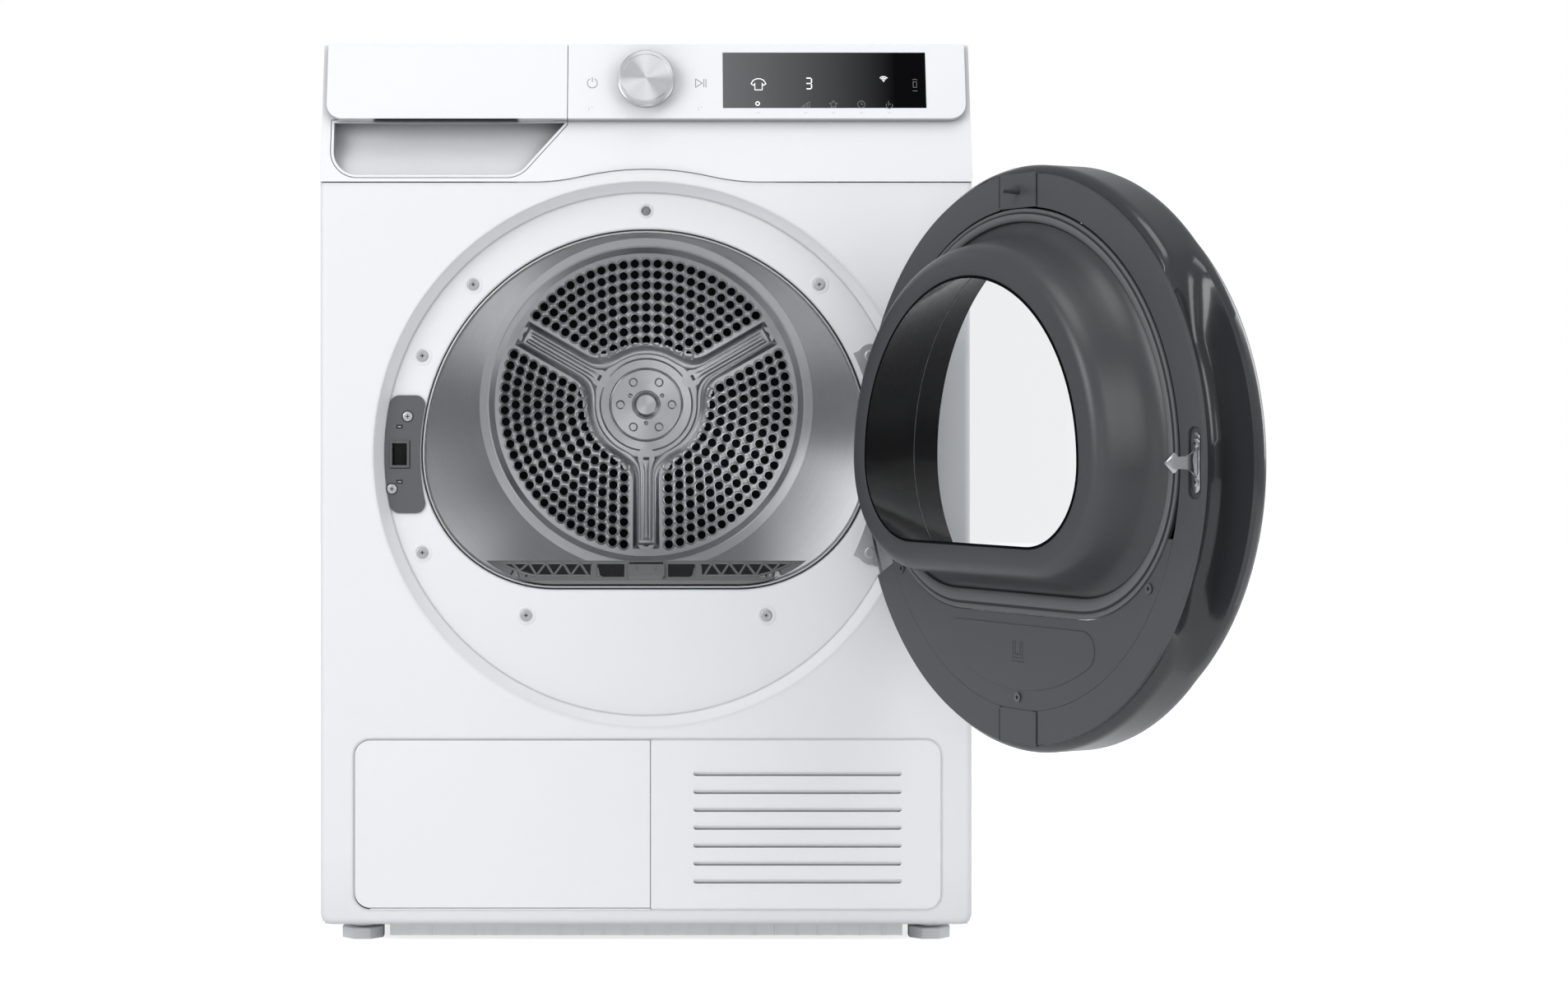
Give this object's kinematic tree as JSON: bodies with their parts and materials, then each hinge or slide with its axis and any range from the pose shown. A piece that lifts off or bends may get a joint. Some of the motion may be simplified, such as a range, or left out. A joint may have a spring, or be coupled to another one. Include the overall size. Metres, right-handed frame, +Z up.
{
  "type": "clothes dryer",
  "caption": "White free-standing front-loading clothes dryer with a round dark door standing open, a perforated steel drum, a knob and display panel, and a water drawer.",
  "frame": {"origin": "on the floor, midway between the four feet", "axes": "+X right of a person facing the door, +Y from the front to the back, +Z up"},
  "size_m": [0.7773, 1.0777, 0.833],
  "materials": {
    "white_paint": "smooth white enamel",
    "white_plastic": "satin white moulding",
    "door_grey": "satin dark grey moulding",
    "bowl_grey": "satin grey moulding",
    "rim_gloss": "satin black moulding",
    "black_gloss": "polished black",
    "clear_glass": "clear glass",
    "display_glass": "dark display window",
    "seal_rubber": "grey rubber",
    "dark_rubber": "black rubber",
    "drum_steel": "brushed stainless sheet",
    "zinc_steel": "zinc-plated sheet",
    "bright_metal": "polished plated steel",
    "dark_metal": "blackened steel",
    "spun_aluminium": "spun aluminium",
    "fin_aluminium": "bare fins",
    "base_grey": "grey base moulding",
    "filter_grey": "grey moulding",
    "filter_mesh": "fine woven screen",
    "catch_grey": "dark grey moulding",
    "felt": "wool felt",
    "motor_metal": "painted castings",
    "compressor_black": "black enamel",
    "board_green": "printed board",
    "tank_clear": "milky moulding"
  },
  "bodies": {
    "cabinet": {"front_panel": "white_paint", "side_panel_left": "white_paint", "side_panel_right": "white_paint", "rear_panel": "zinc_steel", "top_cover": "white_paint", "louvre_panel": "white_plastic", "base_tray": "base_grey", "rear_fittings": "catch_grey", "control_panel": "white_plastic", "display_window": "display_glass", "control_board": "board_green", "tank_housing": "white_plastic", "panel_screws": "zinc_steel", "opening_gasket": "dark_rubber", "door_catch": "catch_grey", "door_switch": "catch_grey", "hinge_bracket": "zinc_steel", "hinge_pin": "bright_metal", "front_bulkhead": "drum_steel", "felt_seal": "felt", "rear_duct": "zinc_steel", "rear_bearing": "bright_metal", "drive_belt": "dark_rubber", "motor_housing": "motor_metal", "fan_housing": "base_grey", "idler_arm": "zinc_steel", "compressor": "compressor_black", "heat_exchangers": "fin_aluminium", "condensate_pump": "catch_grey", "exchanger_cover": "base_grey"},
    "door": {"door_outer_ring": "rim_gloss", "door_inner_frame": "door_grey", "door_bowl": "bowl_grey", "door_funnel": "black_gloss", "door_glass": "clear_glass", "door_seal": "seal_rubber", "door_lower_panel": "door_grey", "door_screws": "dark_metal", "door_switch_plate": "door_grey", "latch_hook": "bright_metal", "hinge_leaf": "zinc_steel"},
    "drum": {"drum_shell": "drum_steel", "drum_back": "drum_steel", "drum_hub": "drum_steel", "drum_lifters": "catch_grey"},
    "roller_left": {"drum_roller_left": "catch_grey"},
    "roller_right": {"drum_roller_right": "catch_grey"},
    "rotor": {"motor_rotor": "motor_metal"},
    "idler": {"idler_pulley": "catch_grey"},
    "knob": {"control_knob": "spun_aluminium"},
    "water_drawer": {"drawer_front": "white_plastic", "water_tank": "tank_clear"},
    "lint_filter": {"filter_frame": "filter_grey", "filter_mesh": "filter_mesh"},
    "cover": {"access_cover": "white_plastic"},
    "lever": {"lock_lever": "catch_grey"},
    "foot_front_left_body": {"foot_front_left": "white_plastic"},
    "foot_front_right_body": {"foot_front_right": "white_plastic"},
    "foot_rear_left_body": {"foot_rear_left": "white_plastic"},
    "foot_rear_right_body": {"foot_rear_right": "white_plastic"}
  },
  "joints": [
    {"name": "door_hinge", "type": "hinge", "parent": "cabinet", "child": "door", "pos_m": [0.23, -0.322, 0.452], "axis": [0, 0, 1], "range_deg": [-119, 31]},
    {"name": "drum_spin", "type": "hinge", "parent": "cabinet", "child": "drum", "pos_m": [0, 0, 0.499], "axis": [0, 1, 0], "continuous": true},
    {"name": "motor_spin", "type": "hinge", "parent": "cabinet", "child": "rotor", "pos_m": [0.17, 0, 0.12], "axis": [0, 1, 0], "continuous": true},
    {"name": "idler_spin", "type": "hinge", "parent": "cabinet", "child": "idler", "pos_m": [0.09, 0, 0.108], "axis": [0, 1, 0], "continuous": true},
    {"name": "roller_left_spin", "type": "hinge", "parent": "cabinet", "child": "roller_left", "pos_m": [-0.17873, 0, 0.27024], "axis": [0, 1, 0], "continuous": true},
    {"name": "roller_right_spin", "type": "hinge", "parent": "cabinet", "child": "roller_right", "pos_m": [0.17873, 0, 0.27024], "axis": [0, 1, 0], "continuous": true},
    {"name": "knob_turn", "type": "hinge", "parent": "cabinet", "child": "knob", "pos_m": [0, -0.27319, 0.7955], "axis": [0, -0.9613, 0.2756], "continuous": true},
    {"name": "tank_slide", "type": "slide", "parent": "cabinet", "child": "water_drawer", "axis": [0, -1, 0], "range_m": [0, 0.4]},
    {"name": "filter_lift", "type": "slide", "parent": "cabinet", "child": "lint_filter", "axis": [0, 0, 1], "range_m": [0, 0.17]},
    {"name": "access_cover_hinge", "type": "hinge", "parent": "cabinet", "child": "cover", "pos_m": [-0.13275, -0.292, 0.056], "axis": [1, 0, 0], "range_deg": [0, 90]},
    {"name": "lock_lever_turn", "type": "hinge", "parent": "cabinet", "child": "lever", "pos_m": [-0.13275, -0.274, 0.11], "axis": [0, 1, 0], "range_deg": [0, 90]},
    {"name": "foot_front_left_turn", "type": "hinge", "parent": "cabinet", "child": "foot_front_left_body", "pos_m": [-0.265, -0.246, 0.005], "axis": [0, 0, 1], "continuous": true},
    {"name": "foot_front_right_turn", "type": "hinge", "parent": "cabinet", "child": "foot_front_right_body", "pos_m": [0.265, -0.246, 0.005], "axis": [0, 0, 1], "continuous": true},
    {"name": "foot_rear_left_turn", "type": "hinge", "parent": "cabinet", "child": "foot_rear_left_body", "pos_m": [-0.265, 0.246, 0.005], "axis": [0, 0, 1], "continuous": true},
    {"name": "foot_rear_right_turn", "type": "hinge", "parent": "cabinet", "child": "foot_rear_right_body", "pos_m": [0.265, 0.246, 0.005], "axis": [0, 0, 1], "continuous": true}
  ],
  "couplings": [
    {"joint": "motor_spin", "follows": "drum_spin", "ratio": 26.922},
    {"joint": "idler_spin", "follows": "drum_spin", "ratio": 16.029},
    {"joint": "roller_left_spin", "follows": "drum_spin", "ratio": -10.612},
    {"joint": "roller_right_spin", "follows": "drum_spin", "ratio": -10.612}
  ]
}
